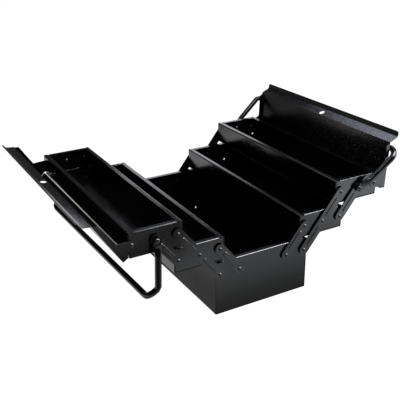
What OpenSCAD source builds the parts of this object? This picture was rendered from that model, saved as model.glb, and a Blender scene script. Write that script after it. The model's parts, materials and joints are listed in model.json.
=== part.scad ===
// Five-tray cantilever tool box, shown open.
// X runs along the box, the trays of one bank open towards -Y and of the
// other towards +Y, Z is up. The origin is the middle of the base's underside.
// "left" is the -Y bank, "right" the +Y bank, "front" the +X end.

/* [Base box] */
// Length of the box over the end panels
box_l = 430; // [380:5:520]
// Width of the base box
base_w = 200; // [200:1:204]
// Height of the base box
base_h = 105.5; // [95:0.5:106]
// Thickness of the sheet metal
sheet_t = 1; // [0.8:0.1:1.2]
// Width of the rim that is folded inwards along every wall
rim_w = 9; // [6:0.5:12]
// Outer radius of the folds
bend_r = 2; // [1.5:0.1:3]

/* [Trays] */
// Width of each tray
tray_w = 99; // [96:0.5:99]
// Height of each tray
tray_h = 45; // [38:0.5:46]
// From the inner wall of a lower tray to its innermost pivot
low_inset = 9.7; // [9:0.1:10]
// From the inner wall of an upper tray to its innermost pivot
upp_inset = 10.4; // [10:0.1:11]
// Height of a lower tray's pivots over its floor
low_rise = 24.2; // [20:0.1:26]
// Height of an upper tray's pivots over its floor
upp_rise = 23.7; // [20:0.1:26]

/* [Linkage] */
// Pivot to pivot length of a short link, and of each half of a long link
link_len = 64.4; // [62:0.1:66]
// How far the links lean outwards when the box is open
link_lean = 38.7; // [36:0.1:39]
// Distance between neighbouring pivots on a tray
pivot_gap = 41; // [38:0.5:42]
// Height of the pivots on the base box
base_pivot_z = 83; // [80:0.5:86]
// Distance of the outer base pivot from the middle plane
base_pivot_y = 91.9; // [90:0.1:92]
// Width of a link
link_w = 19.5; // [16:0.5:19.5]
// Thickness of a link
link_t = 2; // [1.5:0.1:2]
// Width of the rib on the long links and the upper links
slim_rib = 6; // [4:0.5:8]
// Width of the rib on the lower links
wide_rib = 10.5; // [6:0.5:12]
// Radius of the rivet shanks
rivet_r = 2.5; // [2:0.1:3]
// Play between a shank and its holes
play = 0.05; // [0.02:0.01:0.1]

/* [Lids] */
// Distance of the lid hinge from the inner wall of the upper tray
hinge_inset = 93.5; // [92:0.5:95]
// How far the left lid is folded back from its closed position
lid_open_left = 122.6; // [90:0.5:124]
// How far the right lid is folded back from its closed position
lid_open_right = 93; // [90:0.5:124]
// Diameter of the padlock hole in each lid's ridge
lock_d = 12; // [8:0.5:12]

/* [Handles] */
// Diameter of the handle bar
bar_d = 11.5; // [9:0.5:12]
// From the handle's pivot to the middle of the grip
handle_r = 105; // [95:1:108]
// Radius of the handle's corners
corner_r = 22; // [15:1:26]

/* [Hidden] */
$fn = 48;

half_l = box_l / 2;
dy = link_len * sin(link_lean);
dz = link_len * cos(link_lean);

// pivots as [distance from the middle plane, height]
B1 = [base_pivot_y, base_pivot_z];
B2 = B1 - [pivot_gap, 0];
T1 = B1 + [dy, dz];
T2 = T1 - [pivot_gap, 0];
T3 = T1 + [pivot_gap, 0];
U2 = T1 + [dy, dz];
U1 = U2 + [pivot_gap, 0];

low_a = T2[0] - low_inset;
low_z = T1[1] - low_rise;
upp_a = U2[0] - upp_inset;
upp_z = U2[1] - upp_rise;
H = [upp_a + hinge_inset, U2[1]];

// layers outwards from the end panel
ear_x0 = half_l + 0.5;
ear_t = 1.2;
link_x0 = half_l + 2;
link_x1 = link_x0 + link_t;
wash_x0 = link_x1 + 0.1;
wash_t = 1.4;
eye_x0 = wash_x0 + wash_t + 0.1;
eye_t = 4;
bar_x = eye_x0 + bar_d / 2 + 0.1;

paint = [0.13, 0.13, 0.14];
rivet_paint = [0.16, 0.16, 0.17];

// ---- placing ----

module bank(s) { if (s < 0) mirror([0, 1, 0]) children(); else children(); }
module end(e) { if (e < 0) mirror([1, 0, 0]) children(); else children(); }
module at(p) { translate([0, p[0], p[1]]) children(); }
// draws a (distance, height) outline upright and runs it along X
module along_x(x0, len) { translate([x0, 0, 0]) rotate([90, 0, 90]) linear_extrude(len) children(); }

// ---- folded trays and base ----

module round_rect(w, h, r) {
  translate([r, 0]) square([w - 2 * r, h]);
  translate([0, r]) square([w, h - 2 * r]);
  for (x = [r, w - r], y = [r, h - r]) translate([x, y]) circle(r);
}

// floor, two long walls and their rims, folded from one sheet
module wrap(w, h) {
  len = box_l;
  c = 5;
  difference() {
    along_x(-len / 2, len) difference() {
      round_rect(w, h, bend_r);
      translate([sheet_t, sheet_t]) round_rect(w - 2 * sheet_t, h - 2 * sheet_t, bend_r - sheet_t);
      translate([rim_w, h / 2]) square([w - 2 * rim_w, h]);
    }
    for (e = [-1, 1], s = [0, 1])
      translate([e * (len / 2 - c), s == 0 ? rim_w - c : w - rim_w + c, h - sheet_t - 0.5])
        difference() {
          translate([e > 0 ? 0 : -c - 1, s == 0 ? 0 : -c - 1, 0]) cube([c + 1, c + 1, sheet_t + 1]);
          translate([0, 0, -1]) cylinder(r = c, h = sheet_t + 3);
        }
  }
}

// quarter of a folded edge, in the corner of the first quadrant
module fold(r, t) intersection() {
  difference() { circle(r); circle(r - t); }
  square(r + 1);
}

// end panel: a shallow pan between the walls and under the rims of the shell,
// with a folded rim, floor flange and side tabs, relief holes where the folds
// meet, and pivot holes at the listed [distance, height] places
module end_panel(w, h, holes) {
  t = sheet_t;
  r = bend_r;
  gap = rim_w + 1;
  relief = 1.6;
  y0 = t + 0.1;
  z0 = t;
  top = h - 1.4;
  translate([half_l, 0, 0]) difference() {
    union() {
      // face
      translate([-t, y0 + r, z0 + r]) cube([t, w - 2 * (y0 + r), top - z0 - r]);
      // folds and tabs along the long walls
      for (s = [0, 1]) translate([0, s * w, z0 + r + relief]) mirror([0, s, 0])
        linear_extrude(top - z0 - r - relief) {
          translate([-r, y0 + r]) rotate(-90) fold(r, t);
          translate([-11, y0]) square([11 - r, t]);
        }
      // fold and flange on the floor
      translate([0, w - y0 - r - relief, 0]) rotate([90, 0, 0]) linear_extrude(w - 2 * (y0 + r + relief)) {
        translate([-r, z0 + r]) rotate(-90) fold(r, t);
        translate([-12, z0]) square([12 - r, t]);
      }
      // fold and rim between the long rims
      translate([0, w - gap, 0]) rotate([90, 0, 0]) linear_extrude(w - 2 * gap) {
        translate([-t, top - 1]) square([t, h - r - top + 1]);
        translate([-r, h - r]) fold(r, t);
        translate([-rim_w - 0.5, h - t]) square([rim_w + 0.5 - r, t]);
      }
    }
    for (p = holes) translate([-t - 1, p[0], p[1]]) rotate([0, 90, 0]) cylinder(r = rivet_r + play, h = t + 2);
  }
}

low_holes = [for (p = [T1, T2, T3]) [p[0] - low_a, p[1] - low_z]];
upp_holes = [for (p = [U1, U2, H]) [p[0] - upp_a, p[1] - upp_z]];
base_holes = [for (s = [-1, 1], p = [B1, B2]) [base_w / 2 + s * p[0], p[1]]];

module base_shell() color(paint) translate([0, -base_w / 2, 0]) wrap(base_w, base_h);
module base_end(e) color(paint) end(e) translate([0, -base_w / 2, 0]) end_panel(base_w, base_h, base_holes);
module lower_shell(s) color(paint) bank(s) translate([0, low_a, low_z]) wrap(tray_w, tray_h);
module upper_shell(s) color(paint) bank(s) translate([0, upp_a, upp_z]) wrap(tray_w, tray_h);
module lower_end(s, e) color(paint) end(e) bank(s) translate([0, low_a, low_z]) end_panel(tray_w, tray_h, low_holes);
module upper_end(s, e) color(paint) end(e) bank(s) translate([0, upp_a, upp_z]) end_panel(tray_w, tray_h, upp_holes);

// ---- rivets, spacers, washers ----

// a low dome of base radius a and height h on the plane z = 0
module dome(a, h) {
  R = (a * a + h * h) / (2 * h);
  intersection() {
    translate([0, 0, h - R]) sphere(R);
    cylinder(r = a + 1, h = h + 1);
  }
}

// rivet through the end panel; its outer head sits at x, and its inner head
// has the radius b
module rivet(p, x, a = 3.6, h = 2.4, b = 4) {
  at(p) rotate([0, 90, 0]) {
    translate([0, 0, half_l - sheet_t]) mirror([0, 0, 1]) dome(b, 1.5);
    translate([0, 0, half_l - sheet_t - 0.2]) cylinder(r = rivet_r, h = x - half_l + sheet_t + 0.4);
    translate([0, 0, x]) dome(a, h);
  }
}
module ring(p, x, t, r) {
  at(p) rotate([0, 90, 0]) translate([0, 0, x]) difference() {
    cylinder(r = r, h = t);
    translate([0, 0, -1]) cylinder(r = rivet_r + play, h = t + 2);
  }
}
module both_ends() { children(); mirror([1, 0, 0]) children(); }

module base_rivets() color(rivet_paint) both_ends() for (s = [-1, 1], p = [B1, B2]) bank(s) rivet(p, link_x1 + 0.1);
module base_spacers() color(rivet_paint) both_ends() for (s = [-1, 1], p = [B1, B2]) bank(s) ring(p, half_l, link_x0 - half_l - 0.1, 6);
module lower_rivets(s) color(rivet_paint) both_ends() for (p = [T1, T2, T3]) bank(s) rivet(p, link_x1 + 0.1);
module lower_spacers(s) color(rivet_paint) both_ends() for (p = [T1, T2, T3]) bank(s) ring(p, half_l, link_x0 - half_l - 0.1, 6);
module upper_rivets(s) color(rivet_paint) both_ends() bank(s) {
  rivet(U2, link_x1 + 0.1);
  rivet(U1, eye_x0 + eye_t + 0.1, 4.6, 2.4);
}
module upper_spacers(s) color(rivet_paint) both_ends() for (p = [U1, U2]) bank(s) ring(p, half_l, link_x0 - half_l - 0.1, 6);
module handle_washers(s) color(rivet_paint) both_ends() bank(s) ring(U1, wash_x0, wash_t, 8.5);
module hinge_rivets(s) color(rivet_paint) both_ends() bank(s) rivet(H, ear_x0 + ear_t + 0.1, 3.6, 2, 2.45);

// ---- links ----

// raised rib with sloping sides and round ends, on the plane x = link_t
module rib(w, z0, z1) {
  h = 1.3;
  sink = 0.4;
  a = w / 2 + sink;
  b = w / 2 - h;
  translate([link_t - sink, 0, z0]) rotate([0, 90, 0]) cylinder(r1 = a, r2 = b, h = h + sink);
  translate([link_t - sink, 0, z1]) rotate([0, 90, 0]) cylinder(r1 = a, r2 = b, h = h + sink);
  translate([0, 0, z0]) linear_extrude(z1 - z0)
    polygon([[link_t - sink, -a], [link_t + h, -b], [link_t + h, b], [link_t - sink, a]]);
}
// flat bar with round ends along +Z, holes at the listed distances, and a
// rib between each pair of holes
module bar_link(stops, rib_w) {
  n = len(stops) - 1;
  translate([link_x0, 0, 0]) {
    rotate([90, 0, 90]) linear_extrude(link_t) difference() {
      union() {
        translate([-link_w / 2, 0]) square([link_w, stops[n]]);
        circle(link_w / 2);
        translate([0, stops[n]]) circle(link_w / 2);
      }
      for (d = stops) translate([0, d]) circle(rivet_r + play);
    }
    for (i = [0 : n - 1]) rib(rib_w, stops[i] + 10.5 + rib_w / 2, stops[i + 1] - 11.5 - rib_w / 2);
  }
}
module link(s, e, p, stops, rib_w) color(paint) end(e) bank(s) at(p) rotate([-link_lean, 0, 0]) bar_link(stops, rib_w);

// ---- lids ----

// directions along a folded outline, and from a corner to its inner side
function unit(v) = v / norm(v);
function left_of(v) = [-v[1], v[0]];
function mitre(p, i) =
  let (n = len(p) - 1,
       a = left_of(unit(i == 0 ? p[1] - p[0] : p[i] - p[i - 1])),
       b = left_of(unit(i == n ? p[n] - p[n - 1] : p[i + 1] - p[i])))
  (a + b) / (1 + a * b);

// the closed lid seen from its hinge: [towards the middle plane, up]
lid_top = 28.5;
lid_back = -13.5;
lid_drop = 12.3;
plate_drop = 8;
lid_half = ear_x0 + ear_t;
hem = 2 * sheet_t;
// slope and strip of the ridge; closed, the right strip lies over the left one
ridge_left = [[76, lid_top], [85, 39.7], [89.4, 42.4], [97.3, 44.3]];
ridge_right = [[78, lid_top], [84.6, 42.4], [88, 46.4], [97.5, 47.4]];
function ridge(s) = s < 0 ? ridge_left : ridge_right;

module lid_frame(s, open) bank(s) at(H) rotate([-open, 0, 0]) mirror([0, 1, 0]) children();

function arc(c, a0, k0, k1) = [for (k = [k0 : k1]) let (a = a0 - 30 * k) c + sheet_t * [cos(a), sin(a)]];

// outline of the lid: back flange, top, slope and strip, with both free edges
// folded back flat on the underside
function lid_outline(r) =
  let (v0 = lid_top - lid_drop + sheet_t, b0 = lid_back + sheet_t, t = sheet_t,
       d = unit(r[3] - r[2]), n = left_of(d), turn = atan2(d[1], d[0]),
       p = [[lid_back, v0], [lid_back, lid_top], r[0], r[1], r[2], r[3] - t * d],
       h = r[2] + 0.5 * d)
  concat(p, arc(r[3] - t * (d + n), turn + 90, 1, 6), [h - hem * n, h - t * n],
    [for (i = [4 : -1 : 1]) p[i] - t * mitre(p, i)],
    [[b0, v0 + 4], [b0 + t, v0 + 4]], arc([b0, v0], 0, 0, 5));

module lid_panel(s, open) color(paint) lid_frame(s, open) {
  r = ridge(s);
  slope_dir = unit(r[1] - r[0]);
  slope_mid = (r[0] + r[1]) / 2;
  difference() {
    along_x(-lid_half, 2 * lid_half) polygon(lid_outline(r));
    // round corners of the ridge
    for (e = [-1, 1]) translate([e * (lid_half - 6.6), r[3][0] - 6.4, r[3][1] - 10]) difference() {
      translate([e > 0 ? 0 : -9, 0, 0]) cube([9, 9, 14]);
      translate([0, 0, -1]) cylinder(r = 7, h = 16);
    }
    // padlock hole through the slope
    translate([0, slope_mid[0], slope_mid[1]]) rotate([atan2(slope_dir[1], slope_dir[0]), 0, 0])
      translate([0, 0, -4]) cylinder(d = lock_d, h = 8);
  }
}

// end plate of the lid with the ear that hangs on the hinge rivet
ear_r = 9.2;
function touch(p, r, side) = atan2(p[1], p[0]) + side * acos(r / norm(p));
module lid_ear(s, e, open) color(paint) end(e) lid_frame(s, open) {
  v0 = lid_top - plate_drop;
  v1 = lid_top - sheet_t;
  E1 = [-10.5, v0 + 0.5];
  E2 = [22, v0 + 0.5];
  f1 = touch(E1, ear_r, 1);
  f2 = touch(E2, ear_r, -1) + 360;
  along_x(ear_x0, ear_t) difference() {
    union() {
      polygon([[lid_back + hem + 0.1, v1], [lid_back + hem + 0.1, v0], [70, v0], [75.2, v1]]);
      // sides that touch a round end about the hinge
      polygon(concat([E1], [for (k = [0 : 24]) let (f = f1 + (f2 - f1) * k / 24) ear_r * [cos(f), sin(f)]], [E2]));
    }
    circle(rivet_r + play);
  }
}

// ---- handles ----

function smooth(k) = k * k * (3 - 2 * k);
// a point of the bent bar: x along the box, d out from the pivot, off is the
// sideways set of the grip, ph the angle of the leg from straight down
function bar_pt(x, d, off, ph) =
  [x, d * sin(ph) + off * cos(ph), -d * cos(ph) + off * sin(ph)];
function corner(e, off, ph, R, r, lead) = [for (k = [0 : 6])
  let (a = 90 * k / 6, g = smooth(lead + (1 - lead) * sin(a)))
  bar_pt(e * (bar_x - r + r * cos(a)), R - r + r * sin(a), off * g, ph)];
function reversed(p) = [for (i = [len(p) - 1 : -1 : 0]) p[i]];
function handle_path(ph1, ph2, off1, off2, R1, R2, r2, lead) = concat(
  [bar_pt(bar_x, 26, 0, ph1)], corner(1, off1, ph1, R1, corner_r, 0),
  reversed(corner(-1, off2, ph2, R2, r2, lead)), [bar_pt(-bar_x, 26, 0, ph2)]);

// round bar swept along the points, as one closed skin
function sweep_dir(p, i) = unit((i == len(p) - 1 ? p[i] : p[i + 1]) - (i == 0 ? p[i] : p[i - 1]));
module swept_bar(p, r, ph, sides = 24) {
  n = len(p);
  up = [0, cos(ph), sin(ph)];
  pts = [for (i = [0 : n - 1])
    let (d = sweep_dir(p, i), a = unit(cross(d, up)), b = cross(d, a))
    for (k = [0 : sides - 1]) p[i] + r * (cos(360 * k / sides) * a + sin(360 * k / sides) * b)];
  faces = concat(
    [[for (k = [0 : sides - 1]) k]],
    [for (i = [0 : n - 2], k = [0 : sides - 1])
      [i * sides + k, (i + 1) * sides + k, (i + 1) * sides + (k + 1) % sides, i * sides + (k + 1) % sides]],
    [[for (k = [sides - 1 : -1 : 0]) (n - 1) * sides + k]]);
  polyhedron(points = pts, faces = faces, convexity = 6);
}

// flattened end of the bar, with the pivot hole
eye_w = 13.4;
module eye(e, ph) end(e) rotate([ph, 0, 0]) {
  difference() {
    union() {
      translate([eye_x0, 0, 0]) rotate([0, 90, 0]) cylinder(r = eye_w / 2, h = eye_t);
      translate([eye_x0, -eye_w / 2, -12]) cube([eye_t, eye_w, 12]);
    }
    translate([eye_x0 - 1, 0, 0]) rotate([0, 90, 0]) cylinder(r = rivet_r + play, h = eye_t + 2);
  }
  hull($fn = 32) {
    translate([eye_x0, -eye_w / 2, -12]) cube([eye_t, eye_w, 0.1]);
    translate([bar_x, 0, -28]) cylinder(d = bar_d, h = 1);
  }
}
module handle(s, ph1, ph2, off1, off2, R1, R2, r2, lead) color(paint) bank(s) at(U1) {
  eye(1, ph1);
  eye(-1, ph2);
  swept_bar(handle_path(ph1, ph2, off1, off2, R1, R2, r2, lead), bar_d / 2, (ph1 + ph2) / 2);
}

// ---- nodes ----

base_shell();
base_end(1);  // base_end_front
base_end(-1);  // base_end_rear
base_rivets();
base_spacers();

lower_shell(-1);  // tray_lower_left_shell
lower_end(-1, 1);  // tray_lower_left_end_front
lower_end(-1, -1);  // tray_lower_left_end_rear
lower_rivets(-1);  // tray_lower_left_rivets
lower_spacers(-1);  // tray_lower_left_spacers
upper_shell(-1);  // tray_upper_left_shell
upper_end(-1, 1);  // tray_upper_left_end_front
upper_end(-1, -1);  // tray_upper_left_end_rear
upper_rivets(-1);  // tray_upper_left_rivets
upper_spacers(-1);  // tray_upper_left_spacers
handle_washers(-1);  // tray_upper_left_handle_washers

lower_shell(1);  // tray_lower_right_shell
lower_end(1, 1);  // tray_lower_right_end_front
lower_end(1, -1);  // tray_lower_right_end_rear
lower_rivets(1);  // tray_lower_right_rivets
lower_spacers(1);  // tray_lower_right_spacers
upper_shell(1);  // tray_upper_right_shell
upper_end(1, 1);  // tray_upper_right_end_front
upper_end(1, -1);  // tray_upper_right_end_rear
upper_rivets(1);  // tray_upper_right_rivets
upper_spacers(1);  // tray_upper_right_spacers
handle_washers(1);  // tray_upper_right_handle_washers

lid_panel(-1, lid_open_left);  // lid_left_panel
lid_ear(-1, 1, lid_open_left);  // lid_left_ear_front
lid_ear(-1, -1, lid_open_left);  // lid_left_ear_rear
lid_panel(1, lid_open_right);  // lid_right_panel
lid_ear(1, 1, lid_open_right);  // lid_right_ear_front
lid_ear(1, -1, lid_open_right);  // lid_right_ear_rear
hinge_rivets(-1);  // lid_left_hinge_rivets
hinge_rivets(1);  // lid_right_hinge_rivets

link(-1, 1, B1, [0, link_len, 2 * link_len], slim_rib);  // long_link_left_front
link(-1, -1, B1, [0, link_len, 2 * link_len], slim_rib);  // long_link_left_rear
link(1, 1, B1, [0, link_len, 2 * link_len], slim_rib);  // long_link_right_front
link(1, -1, B1, [0, link_len, 2 * link_len], slim_rib);  // long_link_right_rear
link(-1, 1, B2, [0, link_len], wide_rib);  // lower_link_left_front
link(-1, -1, B2, [0, link_len], wide_rib);  // lower_link_left_rear
link(1, 1, B2, [0, link_len], wide_rib);  // lower_link_right_front
link(1, -1, B2, [0, link_len], wide_rib);  // lower_link_right_rear
link(-1, 1, T3, [0, link_len], slim_rib);  // upper_link_left_front
link(-1, -1, T3, [0, link_len], slim_rib);  // upper_link_left_rear
link(1, 1, T3, [0, link_len], slim_rib);  // upper_link_right_front
link(1, -1, T3, [0, link_len], slim_rib);  // upper_link_right_rear

handle(-1, 2.2, 10.2, 15.5, 15.5, handle_r, handle_r, corner_r, 0);  // handle_left
handle(1, 123.4, 134, 1, -15.8, handle_r + 1, handle_r + 0.7, corner_r - 4, 0.2);  // handle_right
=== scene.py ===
# Cantilever tool box, open, in black enamelled sheet steel.
import json
import math

import bpy
from mathutils import Matrix, Vector

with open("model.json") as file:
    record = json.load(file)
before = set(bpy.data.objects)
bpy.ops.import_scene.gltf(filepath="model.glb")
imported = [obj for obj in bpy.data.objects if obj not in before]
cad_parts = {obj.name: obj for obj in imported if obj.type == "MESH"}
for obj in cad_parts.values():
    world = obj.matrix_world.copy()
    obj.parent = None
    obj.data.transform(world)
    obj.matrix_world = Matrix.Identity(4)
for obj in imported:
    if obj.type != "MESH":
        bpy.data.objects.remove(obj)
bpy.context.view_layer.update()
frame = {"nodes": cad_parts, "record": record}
nodes = frame["nodes"]
scene = bpy.context.scene


# ---------------------------------------------------------------- camera
cam_data = bpy.data.cameras.new("camera")
cam = bpy.data.objects.new("camera", cam_data)
scene.collection.objects.link(cam)
right = Vector((0.48983171, 0.87170552, -0.0139424))
down = Vector((0.34407403, -0.20798797, -0.91561677))
ahead = Vector((-0.80104804, 0.44370091, -0.40181033))
rot = Matrix((right, -down, -ahead)).transposed().to_4x4()
cam.matrix_world = Matrix.Translation(Vector((1.14251656, -0.64200789, 0.69919402))) @ rot
cam_data.sensor_fit = "HORIZONTAL"
cam_data.sensor_width = 36.0
cam_data.lens = 36.0 * 697.66 / 400.0
cam_data.clip_start = 0.05
cam_data.clip_end = 50.0
scene.camera = cam

scene.view_settings.view_transform = "Standard"
scene.view_settings.look = "None"


# ---------------------------------------------------------------- node helpers
class Tree:
    """Short hand for building a node tree."""

    def __init__(self, tree):
        self.t = tree
        tree.nodes.clear()

    def add(self, kind, **settings):
        n = self.t.nodes.new(kind)
        for k, v in settings.items():
            setattr(n, k, v)
        return n

    def put(self, socket, value):
        if isinstance(value, bpy.types.NodeSocket):
            self.t.links.new(value, socket)
        elif value is not None:
            socket.default_value = value

    def math(self, op, a, b=None, c=None, clamp=False):
        n = self.add("ShaderNodeMath", operation=op, use_clamp=clamp)
        for i, v in enumerate((a, b, c)):
            if v is not None:
                self.put(n.inputs[i], v)
        return n.outputs[0]

    def remap(self, value, a, b, c, d, smooth=True):
        n = self.add("ShaderNodeMapRange", interpolation_type="SMOOTHSTEP" if smooth else "LINEAR")
        self.put(n.inputs["Value"], value)
        for name, v in (("From Min", a), ("From Max", b), ("To Min", c), ("To Max", d)):
            self.put(n.inputs[name], v)
        return n.outputs["Result"]

    def noise(self, vec, scale, detail=2.0, rough=0.5, dist=0.0):
        n = self.add("ShaderNodeTexNoise", noise_dimensions="3D")
        self.put(n.inputs["Vector"], vec)
        n.inputs["Scale"].default_value = scale
        n.inputs["Detail"].default_value = detail
        n.inputs["Roughness"].default_value = rough
        n.inputs["Distortion"].default_value = dist
        return n.outputs["Fac"]

    def mix(self, f, a, b):
        n = self.add("ShaderNodeMix", data_type="RGBA")
        self.put(n.inputs[0], f)
        self.put(n.inputs[6], a)
        self.put(n.inputs[7], b)
        return n.outputs[2]


# ---------------------------------------------------------------- studio
def mesh_object(name, verts, faces):
    me = bpy.data.meshes.new(name)
    me.from_pydata(verts, [], faces)
    o = bpy.data.objects.new(name, me)
    scene.collection.objects.link(o)
    return o


# the floor: a light-coloured sheet that the camera sees as white, with a faint contact shadow,
# and that the paint reflects as a glowing sheet with painted light and shade set by position, not lit by the lamps
s = 6.0
floor = mesh_object("floor", [(-s, -s, 0), (s, -s, 0), (s, s, 0), (-s, s, 0)], [(0, 1, 2, 3)])
floor.location.z = -0.0004
m = bpy.data.materials.new("floor_paper")
m.use_nodes = True
t = Tree(m.node_tree)
path = t.add("ShaderNodeLightPath")
place = t.add("ShaderNodeSeparateXYZ")
t.put(place.inputs[0], t.add("ShaderNodeNewGeometry").outputs["Position"])
px, py = place.outputs[0], place.outputs[1]
# painted light and shade, seen only in reflections: glow strength set by floor position, with brighter and darker
# zones standing in for lamplight on the floor and the shadow of the box
away = t.math("SUBTRACT", px, t.math("MULTIPLY", py, 0.6))
front = t.math("MULTIPLY", t.remap(away, 0.44, 0.56, 1.05, 0.04), t.remap(px, 0.20, 0.38, 0.28, 1.0))
far = t.math("MULTIPLY", t.remap(away, 0.575, 0.63, 0.0, 0.6), t.remap(py, -0.12, -0.26, 1.0, 0.2))
corner = t.math("MULTIPLY", t.remap(py, 0.28, 0.44, 0.0, 1.1), t.remap(px, 0.20, 0.40, 0.0, 1.0))
side = t.math("MULTIPLY", t.remap(py, -0.13, -0.28, 0.0, 0.85), t.remap(px, 0.26, 0.36, 1.0, 0.05))
painted_floor_light = t.math("ADD", t.math("ADD", t.math("ADD", front, far), side), corner)
painted_floor_light = t.math("ADD", painted_floor_light, t.remap(px, -0.24, -0.42, 0.0, 0.8))
painted_floor_light = t.math("MULTIPLY", painted_floor_light, t.remap(px, -0.58, -0.85, 1.0, 0.12))
lit = t.add("ShaderNodeEmission")
mixed = t.add("ShaderNodeCombineColor")
# tint of the painted reflection glow, warmer towards -y
warm = t.remap(py, -0.05, -0.30, 0.0, 1.0)
for i, (k, w) in enumerate(((0.97, 1.0), (0.99, 0.96), (1.02, 0.92))):
    t.put(mixed.inputs[i], t.remap(warm, 0.0, 1.0, k, w, False))
t.put(lit.inputs["Color"], mixed.outputs[0])
t.put(lit.inputs["Strength"], painted_floor_light)
glow = t.add("ShaderNodeEmission")
glow.inputs["Color"].default_value = (1, 1, 1, 1)
glow.inputs["Strength"].default_value = 1.0
soft = t.add("ShaderNodeBsdfDiffuse")
soft.inputs["Color"].default_value = (0.03, 0.03, 0.03, 1)
both = t.add("ShaderNodeAddShader")
t.put(both.inputs[0], glow.outputs[0])
t.put(both.inputs[1], soft.outputs[0])
pick = t.add("ShaderNodeMixShader")
t.put(pick.inputs[0], path.outputs["Is Camera Ray"])
t.put(pick.inputs[1], lit.outputs[0])
t.put(pick.inputs[2], both.outputs[0])
out = t.add("ShaderNodeOutputMaterial")
t.put(out.inputs["Surface"], pick.outputs[0])
floor.data.materials.append(m)

# the room: dim grey, with a broad soft bank of light behind the left side
world = bpy.data.worlds.new("studio")
scene.world = world
world.use_nodes = True
t = Tree(world.node_tree)
co = t.add("ShaderNodeTexCoord")
sep = t.add("ShaderNodeSeparateXYZ")
t.put(sep.inputs[0], co.outputs["Generated"])
x, y, z = sep.outputs
flat = t.math("SQRT", t.math("MAXIMUM", t.math("SUBTRACT", 1.0, t.math("MULTIPLY", z, z)), 1e-4))


def toward(azimuth):
    """Cosine of the angle between a direction's compass bearing and the azimuth."""
    a = math.radians(azimuth)
    d = t.math("ADD", t.math("MULTIPLY", x, math.cos(a)), t.math("MULTIPLY", y, math.sin(a)))
    return t.math("DIVIDE", d, flat)


room = t.math("ADD", t.remap(toward(105), 0.2, 0.9, 0.03, 0.12), t.remap(z, 0.5, 0.95, 0.0, 0.10))
room_bg = t.add("ShaderNodeBackground")
room_bg.inputs[0].default_value = (0.95, 0.97, 1.0, 1)
t.put(room_bg.inputs[1], room)
seen_bg = t.add("ShaderNodeBackground")
seen_bg.inputs[0].default_value = (1, 1, 1, 1)
seen_bg.inputs[1].default_value = 1.0
path = t.add("ShaderNodeLightPath")
pick = t.add("ShaderNodeMixShader")
t.put(pick.inputs[0], path.outputs["Is Camera Ray"])
t.put(pick.inputs[1], room_bg.outputs[0])
t.put(pick.inputs[2], seen_bg.outputs[0])
out = t.add("ShaderNodeOutputWorld")
t.put(out.inputs["Surface"], pick.outputs[0])


def softbox(name, place, target, width, height, radiance, tint=(1, 1, 1)):
    data = bpy.data.lights.new(name, "AREA")
    data.shape = "RECTANGLE"
    data.size, data.size_y = width, height
    data.energy = radiance * math.pi * width * height
    data.color = tint
    o = bpy.data.objects.new(name, data)
    scene.collection.objects.link(o)
    o.location = place
    o.rotation_euler = (Vector(target) - Vector(place)).to_track_quat("-Z", "Y").to_euler()
    o.visible_camera = False
    return o


softbox("key", (0.62, 0.78, 1.45), (0, 0, 0.1), 0.75, 0.75, 34.0, (0.95, 0.97, 1.0))
softbox("overhead", (-0.42, 0.50, 1.35), (-0.42, 0.50, 0.0), 1.3, 1.0, 3.0, (0.80, 0.83, 1.0))
softbox("bank", (-1.20, 0.62, 0.49), (0.0, 0.62, 0.49), 0.64, 0.54, 1.65, (0.93, 0.94, 1.0))
softbox("side", (0.45, 1.5, 0.55), (0.1, 0.0, 0.1), 0.8, 0.6, 9.0, (0.96, 0.97, 1.0))
softbox("front", (0.72, -0.22, 1.35), (0.1, 0.0, 0.1), 0.45, 0.45, 16.0, (0.97, 0.98, 1.0))


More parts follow.
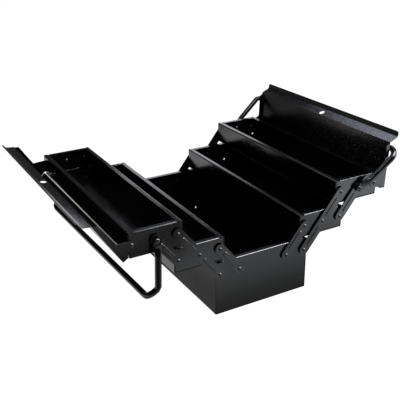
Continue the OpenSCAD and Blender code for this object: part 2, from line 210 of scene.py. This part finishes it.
# ---------------------------------------------------------------- paint
def enamel(name, dark, light, rough, peel=0.25, dents=0.25, ior=1.5, glint_span=None):
    """Sprayed black enamel: orange peel, slow dents of the sheet below,
    slight changes of shade and gloss, and on request painted glints: light grey specks painted into the colour on
    the face towards the middle of the box, more of them between two x, standing in for the orange peel catching the
    light."""
    mat = bpy.data.materials.new(name)
    mat.use_nodes = True
    t = Tree(mat.node_tree)
    coords = t.add("ShaderNodeTexCoord")
    co = coords.outputs["Object"]
    shade = t.remap(t.noise(co, 38.0, 4.0, 0.6), 0.3, 0.7, 0.0, 1.0)
    colour = t.mix(shade, (*dark, 1), (*light, 1))
    if glint_span:
        x = t.add("ShaderNodeSeparateXYZ")
        t.put(x.inputs[0], co)
        facing = t.add("ShaderNodeSeparateXYZ")
        t.put(facing.inputs[0], coords.outputs["Normal"])
        outward = t.math("MULTIPLY", facing.outputs[1], t.math("SIGN", x.outputs[1]))
        # painted highlights: light grey specks painted into the colour on the faces towards the middle of the box,
        # denser between two x, in place of glints of the orange peel in the light
        glint_dots = t.remap(t.noise(co, 580.0, 1.0, 0.5), 0.60, 0.70, 0.0, 1.0)
        glint_amount = t.math("MULTIPLY", glint_dots, t.remap(x.outputs[0], glint_span[0], glint_span[1], 0.2, 1.0))
        glint_amount = t.math("MULTIPLY", glint_amount, t.remap(outward, -0.1, -0.4, 0.0, 1.0))
        colour = t.mix(glint_amount, colour, (0.07, 0.07, 0.074, 1))
    gloss = t.noise(co, 60.0, 3.0, 0.55, 0.4)
    r = t.remap(gloss, 0.3, 0.7, rough[0], rough[1])
    slow = t.noise(co, 11.0, 1.5, 0.4, 0.3)
    fine = t.noise(co, 430.0, 2.0, 0.45)
    grit = t.noise(co, 1300.0, 1.0, 0.5)
    b1 = t.add("ShaderNodeBump")
    b1.inputs["Strength"].default_value = dents
    b1.inputs["Distance"].default_value = 0.006
    t.put(b1.inputs["Height"], slow)
    b2 = t.add("ShaderNodeBump")
    b2.inputs["Strength"].default_value = peel
    b2.inputs["Distance"].default_value = 0.0004
    t.put(b2.inputs["Height"], t.math("ADD", fine, t.math("MULTIPLY", grit, 0.25)))
    t.put(b2.inputs["Normal"], b1.outputs[0])
    p = t.add("ShaderNodeBsdfPrincipled")
    t.put(p.inputs["Base Color"], colour)
    t.put(p.inputs["Roughness"], r)
    p.inputs["IOR"].default_value = ior
    t.put(p.inputs["Normal"], b2.outputs[0])
    out = t.add("ShaderNodeOutputMaterial")
    t.put(out.inputs["Surface"], p.outputs[0])
    return mat


paints = {
    "body_paint": enamel("body_enamel", (0.0002, 0.0002, 0.0002), (0.0009, 0.0009, 0.001), (0.12, 0.18), 0.35, 0.2),
    "link_paint": enamel("link_enamel", (0.002, 0.002, 0.0022), (0.005, 0.005, 0.0054), (0.15, 0.22), 0.25, 0.15),
    "handle_paint": enamel("handle_enamel", (0.0002, 0.0002, 0.0002), (0.0008, 0.0008, 0.0009), (0.10, 0.15), 0.08, 0.05, ior=1.34),
    "rivet_paint": enamel("rivet_enamel", (0.002, 0.002, 0.0022), (0.005, 0.005, 0.0054), (0.14, 0.20), 0.1, 0.0),
    # the lid enamel gets painted glints on the inner faces of the lid panels
    "lid_paint": enamel("lid_enamel", (0.0002, 0.0002, 0.0002), (0.0009, 0.0009, 0.001), (0.12, 0.18), 0.6, 0.2, glint_span=(-0.12, 0.12)),
}
slot_of = {p["node"]: p["material_slot"] for p in frame["record"]["subparts"]}


# ---------------------------------------------------------------- edges
def smooth_group(angle):
    """Smooth shading with sharp edges above the angle, in place of the normals that came with the mesh."""
    g = bpy.data.node_groups.new("even_shading", "GeometryNodeTree")
    g.interface.new_socket("Geometry", in_out="INPUT", socket_type="NodeSocketGeometry")
    g.interface.new_socket("Geometry", in_out="OUTPUT", socket_type="NodeSocketGeometry")
    a = g.nodes.new("NodeGroupInput")
    b = g.nodes.new("NodeGroupOutput")
    e = g.nodes.new("GeometryNodeInputMeshEdgeAngle")
    c = g.nodes.new("FunctionNodeCompare")
    c.data_type = "FLOAT"
    c.operation = "GREATER_THAN"
    c.inputs[1].default_value = angle
    g.links.new(e.outputs["Unsigned Angle"], c.inputs[0])
    n = g.nodes.new("GeometryNodeSetMeshNormal")
    n.mode = "SHARPNESS"
    n.inputs["Remove Custom"].default_value = True
    g.links.new(a.outputs[0], n.inputs["Mesh"])
    g.links.new(c.outputs[0], n.inputs["Edge Sharpness"])
    g.links.new(n.outputs["Mesh"], b.inputs[0])
    return g


even = smooth_group(math.radians(42))


def soften(o, width, segments=2):
    """Joins the split corners, breaks the sharp edges as paint does, and keeps the flats flat."""
    w = o.modifiers.new("join", "WELD")
    w.merge_threshold = 1e-6
    if width:
        v = o.modifiers.new("edges", "BEVEL")
        v.width = width
        v.segments = segments
        v.limit_method = "ANGLE"
        v.angle_limit = math.radians(38)
        v.use_clamp_overlap = True
        v.miter_outer = "MITER_ARC"
    s = o.modifiers.new("shading", "NODES")
    s.node_group = even
    k = o.modifiers.new("flats", "WEIGHTED_NORMAL")
    k.keep_sharp = True
    k.weight = 60


for n, o in nodes.items():
    mat = paints["lid_paint" if n in ("lid_left_panel", "lid_right_panel") else slot_of[n]]
    o.data.materials.clear()
    o.data.materials.append(mat)
    if slot_of[n] == "rivet_paint":
        soften(o, 0.0)
    elif slot_of[n] == "handle_paint":
        soften(o, 0.0)
    else:
        soften(o, 0.0006 if n == "lid_right_panel" else 0.0003)
